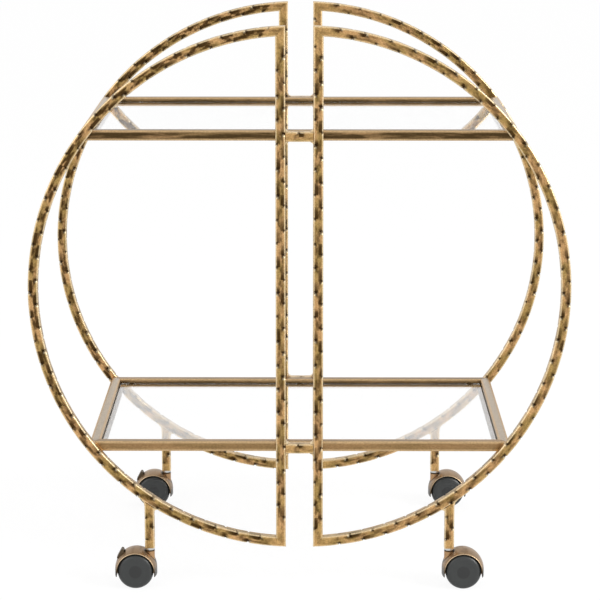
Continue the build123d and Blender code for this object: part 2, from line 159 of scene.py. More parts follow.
def tube_tree():
    """Geometry Nodes tree for one square tube: straight or bent, mitred, beaten along the corners.

    The tube is first a straight bar with its length in X, its outer face at +Y and its width in Z.
    """
    tree, given = open_tree("beaten_tube", (
        ("Size", "Float"), ("Corner", "Float"), ("Bend Radius", "Float"),
        ("Start Outer", "Float"), ("Start Inner", "Float"),
        ("End Outer", "Float"), ("End Inner", "Float"), ("Rings", "Int"),
        ("Nick Pitch", "Float"), ("Nick Rise", "Float"), ("Nick Run", "Float"),
        ("Nick Reach", "Float"), ("Nick Depth", "Float"), ("Plain End", "Float"),
        ("Ripple", "Float"), ("Pool Length", "Float"), ("Pool Reach", "Float"),
        ("Start Wash And Painted Light", "Float"), ("End Wash And Painted Light", "Float"), ("Seed", "Int"), ("Material", "Material"),
    ))
    size, pitch, seed = given["Size"], given["Nick Pitch"], given["Seed"]
    feeds = {"Width": size, "Height": size}
    square = add_node(tree, "GeometryNodeCurvePrimitiveQuadrilateral", feeds).outputs[0]
    feeds = {"Curve": square, "Radius": given["Corner"], "Count": CORNER_STEPS}
    rounded_square = add_node(tree, "GeometryNodeFilletCurve", feeds, mode="POLY").outputs[0]
    feeds = {"Curve": rounded_square, "Count": SECTION_POINTS}
    section = add_node(tree, "GeometryNodeResampleCurve", feeds).outputs[0]
    shape = sweep(tree, given["Rings"], section)

    # Length: mitred ends, with the rings drawn together where the nicks fall
    share, y, z = split(tree, add_node(tree, "GeometryNodeInputPosition").outputs[0])
    inward = calc(tree, "SUBTRACT", 0.5, calc(tree, "DIVIDE", y, size))
    start = blend(tree, inward, given["Start Outer"], given["Start Inner"])
    end = blend(tree, inward, given["End Outer"], given["End Inner"])
    even = blend(tree, share, start, end)
    from_start, to_end = calc(tree, "SUBTRACT", even, start), calc(tree, "SUBTRACT", end, even)
    from_end = calc(tree, "MINIMUM", from_start, to_end)
    turns = calc(tree, "DIVIDE", times(tree, even, 4 * pi), pitch)
    gather = times(tree, calc(tree, "SINE", turns), times(tree, pitch, -RING_GATHER))
    along = calc(tree, "MULTIPLY_ADD", gather, fade(tree, from_end, 0.0, GATHER_END), even)
    free = fade(tree, from_end, *(times(tree, given["Plain End"], part) for part in PLAIN_FADE))

    # Nicks: one row along each corner, the rows of neighbouring corners half a pitch apart
    half = calc(tree, "DIVIDE", size, 2)
    upper, right = calc(tree, "GREATER_THAN", y, 0), calc(tree, "GREATER_THAN", z, 0)
    stagger = times(tree, calc(tree, "ABSOLUTE", calc(tree, "SUBTRACT", upper, right)), 0.5)
    beat = calc(tree, "ADD", calc(tree, "DIVIDE", along, pitch), stagger)
    number = calc(tree, "ROUND", beat)
    row_of_nicks = calc(tree, "ADD", upper, times(tree, right, 2))
    nick_id = calc(tree, "MULTIPLY_ADD", number, 4, row_of_nicks)

    def chance(low, high, offset):
        """Random value between low and high for each nick, by the node's float sockets."""
        feeds = {2: low, 3: high, "ID": nick_id, "Seed": calc(tree, "ADD", seed, offset)}
        return add_node(tree, "FunctionNodeRandomValue", feeds, data_type="FLOAT").outputs[1]

    drift = chance(-NICK_DRIFT, NICK_DRIFT, 0)
    force = chance(*NICK_FORCE, 1)
    away = times(tree, calc(tree, "ADD", calc(tree, "SUBTRACT", beat, number), drift), pitch)
    above = calc(tree, "GREATER_THAN", away, 0)
    wall = times(tree, blend(tree, above, given["Nick Run"], given["Nick Rise"]), force)
    y_off, z_off = calc(tree, "ABSOLUTE", y), calc(tree, "ABSOLUTE", z)
    from_corner = calc(tree, "SUBTRACT", half, calc(tree, "MINIMUM", y_off, z_off))
    inset = calc(tree, "DIVIDE", from_corner, half)
    reach = calc(tree, "DIVIDE", from_corner, times(tree, given["Nick Reach"], force))
    span = calc(tree, "DIVIDE", calc(tree, "ABSOLUTE", away), wall)
    groove = calc(tree, "SUBTRACT", calc(tree, "SUBTRACT", 1, span), reach)
    groove = times(tree, calc(tree, "MAXIMUM", groove, 0), free)

    # Marks for the finish: the dark beak of the nick, a painted highlight on its lower lip and the
    # wash above it
    beak = calc(tree, "DIVIDE", span, calc(tree, "MULTIPLY_ADD", reach, BEAK_SPREAD, BEAK_MOUTH))
    on_side = calc(tree, "GREATER_THAN", y_off, z_off)
    nick = times(tree, fade(tree, beak, *BEAK_EDGE), fade(tree, reach, *BEAK_TIP), free,
                 blend(tree, on_side, 1.0, SIDE_BEAK))
    below = calc(tree, "ADD", calc(tree, "DIVIDE", away, given["Nick Run"]), LIP_DROP)
    lip_highlight = times(tree, fade(tree, calc(tree, "ABSOLUTE", below), *LIP_EDGE),
                fade(tree, reach, *LIP_TIP), free)
    straight = add_node(tree, "ShaderNodeCombineXYZ", {0: along, 1: y, 2: z}).outputs[0]
    feeds = {"Vector": straight, "W": seed, "Scale": RAGGED_SCALE, "Detail": 1.0}
    ragged = add_node(tree, "ShaderNodeTexNoise", feeds, noise_dimensions="4D").outputs[0]
    ragged = calc(tree, "SUBTRACT", ragged, 0.5)
    upward = calc(tree, "MULTIPLY_ADD", ragged, RAGGED_RUN, away)
    inwards = calc(tree, "MULTIPLY_ADD", ragged, RAGGED_REACH, from_corner)
    drawn_out = calc(tree, "DIVIDE", upward, chance(*POOL_DRAWN, 3))
    spread = calc(tree, "DIVIDE", inwards, chance(*POOL_SPREAD, 4))
    length, width = given["Pool Length"], given["Pool Reach"]
    pool = times(tree, fade(tree, upward, *POOL_FOOT), fade(tree, drawn_out, length, 0.0),
                 fade(tree, spread, width, times(tree, width, POOL_CORE)))
    # how much wash the piece takes: antique wash, with painted shade on the left arcs and a painted
    # reflection on the side rails
    wash_and_painted_light = blend(tree, share, given["Start Wash And Painted Light"], given["End Wash And Painted Light"])
    halo = times(tree, pool, free, chance(*POOL_STRENGTH, 2), wash_and_painted_light)

    # Beaten surface: nicks and a faint ripple push the skin towards the tube's middle
    feeds = {"Vector": straight, "W": seed, "Scale": RIPPLE_SCALE, "Detail": 1.0}
    ripple = add_node(tree, "ShaderNodeTexNoise", feeds, noise_dimensions="4D").outputs[0]
    sunk = times(tree, groove, times(tree, force, given["Nick Depth"]))
    sunk = calc(tree, "MULTIPLY_ADD", ripple, given["Ripple"], sunk)
    from_middle = calc(tree, "SQRT", calc(tree, "MULTIPLY_ADD", y, y, times(tree, z, z)))
    keep = calc(tree, "SUBTRACT", 1, calc(tree, "DIVIDE", sunk, from_middle))
    y_beaten, z_beaten = times(tree, y, keep), times(tree, z, keep)

    # Bend: the outer face keeps its length on a circle round the origin
    bend = given["Bend Radius"]
    turn = calc(tree, "DIVIDE", along, calc(tree, "MAXIMUM", bend, 0.001))
    radius = calc(tree, "ADD", calc(tree, "SUBTRACT", bend, half), y_beaten)
    bent = add_node(tree, "ShaderNodeCombineXYZ", {
        0: times(tree, radius, calc(tree, "SINE", turn)),
        1: times(tree, radius, calc(tree, "COSINE", turn)),
        2: z_beaten,
    }).outputs[0]
    plain = add_node(tree, "ShaderNodeCombineXYZ", {0: along, 1: y_beaten, 2: z_beaten}).outputs[0]
    feeds = {"Switch": calc(tree, "GREATER_THAN", bend, 0), "False": plain, "True": bent}
    target = add_node(tree, "GeometryNodeSwitch", feeds, input_type="VECTOR").outputs[0]

    for name, kind, value in (
        ("straight", "FLOAT_VECTOR", straight), ("inset", "FLOAT", inset), ("nick", "FLOAT", nick),
        ("lip_highlight", "FLOAT", lip_highlight), ("halo", "FLOAT", halo), ("free", "FLOAT", free),
        ("wash_and_painted_light", "FLOAT", wash_and_painted_light),
    ):
        feeds = {"Geometry": shape, "Name": name, "Value": value}
        shape = add_node(tree, "GeometryNodeStoreNamedAttribute", feeds, data_type=kind).outputs[0]
    feeds = {"Geometry": shape, "Position": target}
    shape = add_node(tree, "GeometryNodeSetPosition", feeds).outputs[0]
    corners = add_node(tree, "GeometryNodeInputMeshFaceNeighbors").outputs["Vertex Count"]
    feeds = {"A": MOST_SIDE_CORNERS, "B": corners}
    is_side = add_node(tree, "FunctionNodeCompare", feeds, operation="GREATER_THAN").outputs[0]
    feeds = {"Geometry": shape, "Shade Smooth": is_side}
    shape = add_node(tree, "GeometryNodeSetShadeSmooth", feeds).outputs[0]
    return close_tree(tree, shape, given["Material"])


def grow(tree, values, places=None):
    """Run a Geometry Nodes tree with these inputs, on these places, and give a plain mesh."""
    holder = bpy.data.objects.new("holder", places or bpy.data.meshes.new("holder"))
    bpy.context.collection.objects.link(holder)
    modifier = holder.modifiers.new("tree", "NODES")
    modifier.node_group = tree
    for key, value in values.items():
        modifier[tree.interface.items_tree[key].identifier] = value
    graph = bpy.context.evaluated_depsgraph_get()
    mesh = bpy.data.meshes.new_from_object(holder.evaluated_get(graph))
    bpy.data.objects.remove(holder)
    return mesh


def fit(mesh, name, body, slot, *nodes):
    """Make a finished mesh a piece that rides on a body and stands for these nodes."""
    mesh.name = name
    piece = bpy.data.objects.new(name, mesh)
    bpy.context.collection.objects.link(piece)
    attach(piece, body)
    if nodes:
        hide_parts(*nodes)


def new_material(name):
    """Material with an empty tree, its shader and the shader's inputs."""
    material = bpy.data.materials.new(name)
    material.use_nodes = True
    tree = material.node_tree
    return material, tree, tree.nodes["Principled BSDF"].inputs


def tint(tree, share, low, high):
    """Colour between two colours by a share from 0 to 1, by the node's colour sockets."""
    feeds = {0: share, 6: low, 7: high}
    return add_node(tree, "ShaderNodeMix", feeds, data_type="RGBA").outputs[2]


def cover(tree, colour, mask, strength, paint):
    """Colour with paint over it where a mask says, no more strongly than this."""
    return tint(tree, times(tree, mask, strength), colour, paint)


def noise(tree, vector, stretch, detail=3.0, seed=0.0):
    """Noise from 0 to 1 whose grain is as long in each direction as stretch says, in metres."""
    feeds = {"Vector": vector, "Location": (seed, seed, seed)}
    feeds["Scale"] = [1 / length for length in stretch]
    mapped = add_node(tree, "ShaderNodeMapping", feeds).outputs[0]
    feeds = {"Vector": mapped, "Scale": 1.0, "Detail": detail, "Roughness": 0.6}
    return add_node(tree, "ShaderNodeTexNoise", feeds).outputs[0]


def tarnish_group():
    """Shader group: dark antique wash in long streaks, a drift of hue and a fine speckle."""
    patch, hue_patch, grain = [0.008] * 3, [0.013] * 3, [0.0016] * 3
    softness = 0.14
    group = bpy.data.node_groups.new("antique_wash", "ShaderNodeTree")
    for name, kind in (("Vector", "Vector"), ("Streak", "Float"), ("Cover", "Float")):
        group.interface.new_socket(name, in_out="INPUT", socket_type="NodeSocket" + kind)
    for name in ("Wash", "Hue", "Speckle"):
        group.interface.new_socket(name, in_out="OUTPUT", socket_type="NodeSocketFloat")
    given = group.nodes.new("NodeGroupInput").outputs
    vector = given["Vector"]
    lengths = add_node(group, "ShaderNodeCombineXYZ", {0: given["Streak"], 1: 1.0, 2: 1.0})
    feeds = {0: vector, 1: lengths.outputs[0]}
    stretched = add_node(group, "ShaderNodeVectorMath", feeds, operation="DIVIDE").outputs[0]
    bare = calc(group, "SUBTRACT", 1, given["Cover"])
    start, end = calc(group, "SUBTRACT", bare, softness), calc(group, "ADD", bare, softness)
    wash = fade(group, noise(group, stretched, patch), start, end)
    hue = fade(group, noise(group, stretched, hue_patch, 2.0, 7.0), 0.36, 0.64)
    speckle = fade(group, noise(group, vector, grain, 2.0, 3.0), 0.25, 0.75)
    leave = group.nodes.new("NodeGroupOutput").inputs
    for name, value in (("Wash", wash), ("Hue", hue), ("Speckle", speckle)):
        group.links.new(value, leave[name])
    return group


tarnish = tarnish_group()


def antique(tree, vector, streak, share):
    """The antique wash group's outputs, for streaks so long over this share of the surface."""
    feeds = {"Vector": vector, "Streak": streak, "Cover": share}
    return add_node(tree, "ShaderNodeGroup", feeds, node_tree=tarnish).outputs


def mark(tree, name, kind="Fac"):
    """Value, or vector, that a piece's mesh carries under this name."""
    return add_node(tree, "ShaderNodeAttribute", attribute_name=name).outputs[kind]


def scaled(tree, colour, share):
    """Colour made lighter or darker by a share."""
    feeds = {0: colour, "Scale": share}
    return add_node(tree, "ShaderNodeVectorMath", feeds, operation="SCALE").outputs[0]


def roughen(tree, shader, height, distance, strength):
    """Fine relief of a surface, by bump."""
    feeds = {"Height": height, "Distance": distance, "Strength": strength}
    tree.links.new(add_node(tree, "ShaderNodeBump", feeds).outputs[0], shader["Normal"])


def beaten_brass():
    """Antiqued brass plate: brown wash on the faces, black nicks, corners rubbed pale, and painted
    highlights on the corners, on the outer and inner faces and below the nicks.
    """
    olive_gold, copper_gold = (0.42, 0.275, 0.095, 1), (0.62, 0.365, 0.160, 1)
    weld_gold, face_highlight_gold = (0.58, 0.36, 0.140, 1), (0.80, 0.64, 0.42, 1)
    brown_wash, corner_wear_and_highlight = (0.044, 0.021, 0.0050, 1), (0.85, 0.68, 0.42, 1)
    black_nick, lip_highlight_cream = (0.026, 0.013, 0.005, 1), (0.92, 0.78, 0.52, 1)
    material, tree, shader = new_material("beaten_brass")
    straight = mark(tree, "straight", "Vector")
    nick, inset, free = mark(tree, "nick"), mark(tree, "inset"), mark(tree, "free")
    wash, hue, speckle = antique(tree, straight, 2.2, 0.5)

    # The wash stays mid-face and in the pools; the outer and inner faces are paler, a painted
    # highlight, and keep less wash
    stain_and_painted_light = times(tree, wash, fade(tree, inset, 0.15, 0.6), blend(tree, free, 0.5, 0.85),
                  mark(tree, "wash_and_painted_light"))
    stain_and_painted_light = fade(tree, calc(tree, "MAXIMUM", stain_and_painted_light, mark(tree, "halo")), -0.1, 1.2)
    _, outward, across = split(tree, straight)
    past_corner = calc(tree, "SUBTRACT", calc(tree, "ABSOLUTE", outward),
                       calc(tree, "ABSOLUTE", across))
    face_highlight = fade(tree, past_corner, -0.0005, 0.001)
    stain_and_painted_light = times(tree, stain_and_painted_light, blend(tree, face_highlight, 1.0, 0.55))

    colour = tint(tree, hue, olive_gold, copper_gold)
    colour = cover(tree, colour, calc(tree, "SUBTRACT", 1, free), 0.6, weld_gold)
    # painted highlight: the outer and inner faces are paler
    colour = cover(tree, colour, face_highlight, 0.55, face_highlight_gold)
    colour = cover(tree, colour, stain_and_painted_light, 0.95, brown_wash)
    # paler corners: rubbed wear and a painted highlight
    colour = cover(tree, colour, fade(tree, inset, 0.36, 0.12), 0.72, corner_wear_and_highlight)
    colour = cover(tree, colour, nick, 0.95, black_nick)
    # painted highlight on the lower lip of each nick
    colour = cover(tree, colour, mark(tree, "lip_highlight"), 0.5, lip_highlight_cream)
    colour = scaled(tree, colour, blend(tree, speckle, 0.72, 1.28))
    tree.links.new(colour, shader["Base Color"])
    dull = calc(tree, "MAXIMUM", stain_and_painted_light, nick)
    tree.links.new(blend(tree, dull, 0.33, 0.5), shader["Roughness"])
    roughen(tree, shader, speckle, 0.00015, 0.5)
    shader["Metallic"].default_value = 1.0
    return material


square_tube = tube_tree()
hammered = beaten_brass()
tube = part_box("front_left_post")[1].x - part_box("front_left_post")[0].x
hoop_low, hoop_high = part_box("front_right_arc")
hoop_z = (hoop_low.z + hoop_high.z) / 2
hoop_offset = hoop_high.x - HOOP_RADIUS
post_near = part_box("front_right_post")[0].x
post_far = post_near + tube


def tube_mesh(seed, start, end, plain_end, finish, wash, bend=0.0,
              step=RING_STEP, corner=CORNER_ROUND, depth=NICK_DEPTH, ripple=RIPPLE):
    """Square tube along X: start and end give the reach of its outer and of its inner face."""
    length = max(end) - min(start)
    return grow(square_tube, {
        "Size": tube, "Corner": corner, "Bend Radius": bend,
        "Start Outer": start[0], "Start Inner": start[1],
        "End Outer": end[0], "End Inner": end[1], "Rings": int(length / step) + 2,
        "Nick Pitch": NICK_PITCH, "Nick Rise": NICK_RISE, "Nick Run": NICK_RUN,
        "Nick Reach": NICK_REACH, "Nick Depth": depth, "Plain End": plain_end,
        "Ripple": ripple, "Pool Length": POOL_LENGTH, "Pool Reach": POOL_REACH,
        "Start Wash And Painted Light": wash[0], "End Wash And Painted Light": wash[1], "Seed": seed, "Material": finish,
    })


def beaten(name, seed, place, start, end, plain_end, bend=0.0, wash=(1.0, 1.0)):
    """Hammered tube in its place."""
    mesh = tube_mesh(seed, start, end, plain_end, hammered, wash, bend)
    mesh.transform(place)
    fit(mesh, f"{name}_beaten", "frame", "hammered_brass", name)


def stand(origin, along, outward):
    """Place for a piece: its origin, the way it runs and the way its outer face looks."""
    across = along.cross(outward)
    turn = Matrix((along, outward, across)).transposed()
    return Matrix.Translation(origin) @ turn.to_4x4()


RIGHT, UP = Vector((1, 0, 0)), Vector((0, 0, 1))
inner_radius = HOOP_RADIUS - tube
outer_end = HOOP_RADIUS * (pi / 2 - asin((post_near - hoop_offset) / HOOP_RADIUS))
inner_end = HOOP_RADIUS * (pi / 2 - asin((post_far - hoop_offset) / inner_radius))
outer_tip = sqrt(HOOP_RADIUS**2 - (post_near - hoop_offset) ** 2)
inner_tip = sqrt(inner_radius**2 - (post_far - hoop_offset) ** 2)
seed = 0
for row_name, row in ROWS.items():
    hoop_y = row * (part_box("rear_right_post")[0].y + tube / 2)
    for side_name, side in SIDES.items():
        corner = f"{row_name}_{side_name}"
        outward = Vector((side, 0, 0))
        seed += 10
        place = stand((side * hoop_offset, hoop_y, hoop_z), UP, outward)
        beaten(f"{corner}_arc", seed, place, (-outer_end, -inner_end), (outer_end, inner_end),
               PLAIN_END, HOOP_RADIUS, ARC_WASH_AND_SHADE[side_name])
        place = stand((side * (post_near + tube / 2), hoop_y, hoop_z), UP, -outward)
        beaten(f"{corner}_post", seed + 2, place, (-outer_tip, -inner_tip), (outer_tip, inner_tip),
               PLAIN_END)
        low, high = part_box(f"{corner}_leg")
        middle_x = (low.x + high.x) / 2
        saddle = [hoop_z - sqrt(HOOP_RADIUS**2 - (abs(middle_x) + reach - hoop_offset) ** 2)
                  for reach in (tube / 2, -tube / 2)]
        beaten(f"{corner}_leg", seed + 4, stand((middle_x, hoop_y, 0), UP, outward),
               (low.z, low.z), saddle, PLAIN_SHORT_END)
    for level in ("upper", "lower"):
        low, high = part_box(f"{row_name}_{level}_bridge")
        seed += 10
        beaten(f"{row_name}_{level}_bridge", seed, stand((low + high) / 2, RIGHT, UP),
               (low.x, low.x), (high.x, high.x), PLAIN_SHORT_END)

# Welds. Fillets of weld metal in the corners between bridges and posts, and larger ones where the
# legs meet the arcs, all ground smooth, plated with the rest and pale all over: rubbed bright, and
# a painted highlight.
BRIDGE_WELD = 0.0042
LEG_WELD = 0.0070
WELD_TRIM = 0.0012
WELD_RINGS = 13
WELD_POINTS = 24
WELD_HOLLOW = 0.66
WELD_LUMPS = (0.85, 1.1)
LUMP_SCALE = 7.0
WELD_CREASE = 60


def weld_tree():
    """Geometry Nodes tree that lays one hollow-faced fillet at every point it is given."""
    tree, given = open_tree("weld_fillets", (
        ("Places", "Geometry"), ("Leg", "Float"), ("Length", "Float"), ("Seed", "Int"),
        ("Material", "Material"),
    ))
    feeds = {"Width": 1.0, "Height": 1.0}
    square = add_node(tree, "GeometryNodeCurvePrimitiveQuadrilateral", feeds).outputs[0]
    feeds = {"Curve": square, "Count": WELD_POINTS}
    section = add_node(tree, "GeometryNodeResampleCurve", feeds).outputs[0]
    bar = sweep(tree, WELD_RINGS, section)

    # The square's far corner is drawn in, which leaves a fillet with a hollow face
    place = add_node(tree, "GeometryNodeInputPosition").outputs[0]
    share, y, z = split(tree, place)
    out, up = calc(tree, "ADD", y, 0.5), calc(tree, "ADD", z, 0.5)
    drawn_in = times(tree, out, up, WELD_HOLLOW)
    feeds = {"Vector": place, "W": given["Seed"], "Scale": LUMP_SCALE}
    lumps = add_node(tree, "ShaderNodeTexNoise", feeds, noise_dimensions="4D").outputs[0]
    reach = times(tree, given["Leg"], blend(tree, lumps, *WELD_LUMPS))
    moved = add_node(tree, "ShaderNodeCombineXYZ", {
        0: times(tree, calc(tree, "SUBTRACT", share, 0.5), given["Length"]),
        1: times(tree, calc(tree, "SUBTRACT", out, drawn_in), reach),
        2: times(tree, calc(tree, "SUBTRACT", up, drawn_in), reach),
    }).outputs[0]
    feeds = {"Geometry": bar, "Position": moved}
    fillet = add_node(tree, "GeometryNodeSetPosition", feeds).outputs[0]
    feeds = {"Name": "turn"}
    turn = add_node(tree, "GeometryNodeInputNamedAttribute", feeds, data_type="FLOAT_VECTOR")
    feeds = {"Points": given["Places"], "Instance": fillet, "Rotation": turn.outputs[0]}
    laid = add_node(tree, "GeometryNodeInstanceOnPoints", feeds).outputs[0]
    return close_tree(tree, laid, given["Material"])


def soften(mesh, crease):
    """Smooth shading, with edges sharper than the crease angle kept crisp."""
    mesh.shade_smooth()
    mesh.set_sharp_from_angle(angle=radians(crease))
    return mesh


LEFT, FRONT = Vector((-1, 0, 0)), Vector((0, -1, 0))
fillets = weld_tree()


def lay_welds(name, leg, spots, seed):
    """Fillets in the given corners, each by its deepest point and the way its first leg runs."""
    places = bpy.data.meshes.new(f"{name}_places")
    places.from_pydata([spot for spot, _ in spots], [], [])
    turns = places.attributes.new("turn", "FLOAT_VECTOR", "POINT").data
    for (spot, outward), entry in zip(spots, turns):
        entry.vector = stand(spot, FRONT, outward).to_euler()
    sizes = {"Leg": leg, "Length": tube - 2 * WELD_TRIM, "Seed": seed, "Material": hammered}
    mesh = soften(grow(fillets, sizes, places), WELD_CREASE)
    fit(mesh, name, "frame", "hammered_brass")


bridge_spots, leg_spots = [], []
for row_name in ROWS:
    for level in ("upper", "lower"):
        low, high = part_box(f"{row_name}_{level}_bridge")
        bridge_spots += [((x, (low.y + high.y) / 2, z), outward) for x, z, outward in (
            (low.x, high.z, RIGHT), (high.x, high.z, UP),
            (high.x, low.z, LEFT), (low.x, low.z, -UP),
        )]
    for side_name, side in SIDES.items():
        low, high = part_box(f"{row_name}_{side_name}_leg")
        for x, away in ((low.x, -1), (high.x, 1)):
            lean = asin((abs(x) - hoop_offset) / HOOP_RADIUS)
            spot = Vector((x, (low.y + high.y) / 2, hoop_z - HOOP_RADIUS * cos(lean)))
            along_arc = Vector((away * cos(lean), 0, away * side * sin(lean)))
            middle_way = (along_arc - UP).normalized()

            # In a corner wider than square the fillet is sunk until its feet meet both faces
            spread = middle_way.angle(-UP)
            sunk = max(0.0, LEG_WELD * (1 - 1 / tan(spread)) / sqrt(2))
            outward = Matrix.Rotation(radians(45), 3, "Y") @ middle_way
            leg_spots.append((spot - middle_way * sunk, outward))
seed += 10
lay_welds("bridge_welds", BRIDGE_WELD, bridge_spots, seed)
lay_welds("leg_welds", LEG_WELD, leg_spots, seed + 2)

# Shelf frames. Plain square tube, mitred and welded at the corners, brushed and plated in the same
# brass; one rail goes near black towards its ends where it meets the hoops, and flat strips inside
# carry the glass.
RAIL_ROUND = 0.0015
RAIL_STEP = 0.006
# Wash on each rail; with almost none, a rail takes the pale grey of a painted reflection (the side
# rails)
RAIL_WASH_AND_SHEEN = {"upper": {"front": 1.0, "rear": 0.7, "left": 0.02, "right": 0.02},
             "lower": {"front": 0.2, "rear": 0.6, "left": 0.02, "right": 0.02}}
DARK_ENDED_RAIL = "upper_shelf_front_rail"
DARK_END_LENGTH = 0.012
DARK_END_STRENGTH = 2


def object_place(tree):
    """Place on the piece, in metres."""
    return add_node(tree, "ShaderNodeTexCoord").outputs["Object"]


def satin_brass(name, on_tube):
    """Brushed brass with a brown wash, painted shade low on the inner faces below the glass, and
    near-black ends.
    """
    dark_gold, light_gold = (0.30, 0.19, 0.082, 1), (0.38, 0.23, 0.105, 1)
    reflection_grey, corner_wear_and_highlight = (0.49, 0.415, 0.325, 1), (0.56, 0.385, 0.205, 1)
    brown_wash, shade_olive = (0.058, 0.035, 0.013, 1), (0.060, 0.046, 0.024, 1)
    black_end = (0.012, 0.009, 0.007, 1)
    material, tree, shader = new_material(name)
    if on_tube:
        straight = mark(tree, "straight", "Vector")
        middle = fade(tree, mark(tree, "inset"), 0.15, 0.6)
        dark_end, wash_and_sheen = mark(tree, "dark_end"), mark(tree, "wash_and_painted_light")
        _, outward, down = split(tree, straight)
        # painted shade low on the inner faces, below the glass
        inside = fade(tree, outward, -0.0045, -0.0068)
        shade_below_glass = times(tree, inside, fade(tree, down, -0.004, 0.0))
    else:
        straight = object_place(tree)
        middle, dark_end, wash_and_sheen, shade_below_glass = 0.8, 0.0, 0.5, 0.5
    wash, hue, speckle = antique(tree, straight, 9.0, 0.57)
    grain = noise(tree, straight, (0.03, 0.0007, 0.0007), 2.0)
    stain_and_painted_light = times(tree, wash, middle, wash_and_sheen)
    gold = tint(tree, hue, dark_gold, light_gold)
    # little wash leaves the pale grey of a painted reflection
    gold = tint(tree, fade(tree, wash_and_sheen, 0.0, 0.15), reflection_grey, gold)
    # paler corners: rubbed wear and a painted highlight
    colour = tint(tree, calc(tree, "SUBTRACT", 1, middle), gold, corner_wear_and_highlight)
    colour = cover(tree, colour, stain_and_painted_light, 0.95, brown_wash)
    # painted shade low on the inner faces, below the glass
    colour = cover(tree, colour, shade_below_glass, 0.85, shade_olive)
    shade = calc(tree, "ADD", blend(tree, speckle, 0.3, 0.7), blend(tree, grain, 0.3, 0.7))
    # near black towards the ends of one rail
    colour = tint(tree, dark_end, scaled(tree, colour, shade), black_end)
    tree.links.new(colour, shader["Base Color"])
    tree.links.new(blend(tree, grain, 0.26, 0.44), shader["Roughness"])
    roughen(tree, shader, grain, 0.00006, 0.4)
    shader["Metallic"].default_value = 1.0
    return material


brushed = satin_brass("satin_brass", True)
strip_finish = satin_brass("ledge_brass", False)


def dress(node, material):
    """Give a carried-over node its finish."""
    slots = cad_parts[node].data.materials
    slots.clear()
    slots.append(material)


BACK = Vector((0, 1, 0))
RAIL_WAYS = {"front": (RIGHT, FRONT), "rear": (LEFT, BACK),
             "left": (FRONT, LEFT), "right": (BACK, RIGHT)}
for level in ("upper", "lower"):
    for edge, (along, outward) in RAIL_WAYS.items():
        name = f"{level}_shelf_{edge}_rail"
        low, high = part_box(name)
        reach = abs((high - low).dot(along)) / 2
        seed += 10
        mesh = tube_mesh(seed, (-reach, tube - reach), (reach, reach - tube), reach, brushed,
                         [RAIL_WASH_AND_SHEEN[level][edge]] * 2, step=RAIL_STEP, corner=RAIL_ROUND,
                         depth=0.0, ripple=0.0)
        dark_end = mesh.attributes.new("dark_end", "FLOAT", "POINT")
        # this rail goes near black towards its ends, where it meets the hoops
        if name == DARK_ENDED_RAIL:
            for point, entry in zip(mesh.vertices, dark_end.data):
                darkening = 1 - (reach - abs(point.co.x)) / DARK_END_LENGTH
                entry.value = max(0.0, min(1.0, DARK_END_STRENGTH * darkening))
        mesh.transform(stand((low + high) / 2, along, outward))
        fit(mesh, f"{name}_tube", "frame", "satin_brass", name)
    dress(f"{level}_shelf_ledge", strip_finish)

# Shelf panes. Clear float glass, 5 mm thick with rounded corners, dropped into each frame on small
# clear rubber pads that are stuck to the strips.


def float_glass():
    """Clear glass, polished a little unevenly, with dull olive edges where it was ground."""
    cool_clear, clear, olive_edge = (0.99, 0.995, 0.995, 1), (1, 1, 1, 1), (0.16, 0.15, 0.085, 1)
    material, tree, shader = new_material("float_glass")
    surface = add_node(tree, "ShaderNodeTexCoord").outputs
    smear = noise(tree, surface["Object"], (0.15, 0.15, 0.15), 2.0)
    facing = calc(tree, "ABSOLUTE", split(tree, surface["Normal"])[2])
    ground = fade(tree, facing, 0.7, 0.3)
    pane = tint(tree, smear, cool_clear, clear)
    tree.links.new(tint(tree, ground, pane, olive_edge), shader["Base Color"])
    tree.links.new(blend(tree, ground, times(tree, smear, 0.02), 0.4), shader["Roughness"])
    shader["Transmission Weight"].default_value = 1.0
    shader["IOR"].default_value = 1.5
    shader["Coat Weight"].default_value = 0.6
    return material


def clear_rubber():
    """Milky clear rubber of the stick-on pads."""
    milky, clearer = (0.72, 0.73, 0.72, 1), (0.82, 0.83, 0.82, 1)
    material, tree, shader = new_material("clear_rubber")
    cloud = noise(tree, object_place(tree), (0.002, 0.002, 0.002))
    tree.links.new(tint(tree, cloud, milky, clearer), shader["Base Color"])
    tree.links.new(blend(tree, cloud, 0.3, 0.45), shader["Roughness"])
    shader["Transmission Weight"].default_value = 0.7
    return material


glass = float_glass()
pads = clear_rubber()
for level in ("upper", "lower"):
    dress(f"{level}_shelf_glass", glass)
    dress(f"{level}_shelf_pads", pads)

# Caster stems and axles. Turned steel, zinc plated: the bright collar shows between leg and hood,
# the rest sits in the leg and the hood. The brake pins are cut from the same rod.


def plated_steel():
    """Bright zinc plate with fine turning marks and a slight haze."""
    dark_zinc, bright_zinc = (0.45, 0.45, 0.44, 1), (0.68, 0.68, 0.66, 1)
    material, tree, shader = new_material("plated_steel")
    turning = noise(tree, object_place(tree), (0.02, 0.02, 0.0005), 2.0)
    tree.links.new(tint(tree, turning, dark_zinc, bright_zinc), shader["Base Color"])
    tree.links.new(blend(tree, turning, 0.18, 0.34), shader["Roughness"])
    shader["Metallic"].default_value = 1.0
    return material


steel = plated_steel()
dress("caster_stems", steel)
for row_name in ROWS:
    for side_name in SIDES:
        dress(f"{row_name}_{side_name}_caster_axle", steel)
    dress(f"{row_name}_left_brake_pin", steel)

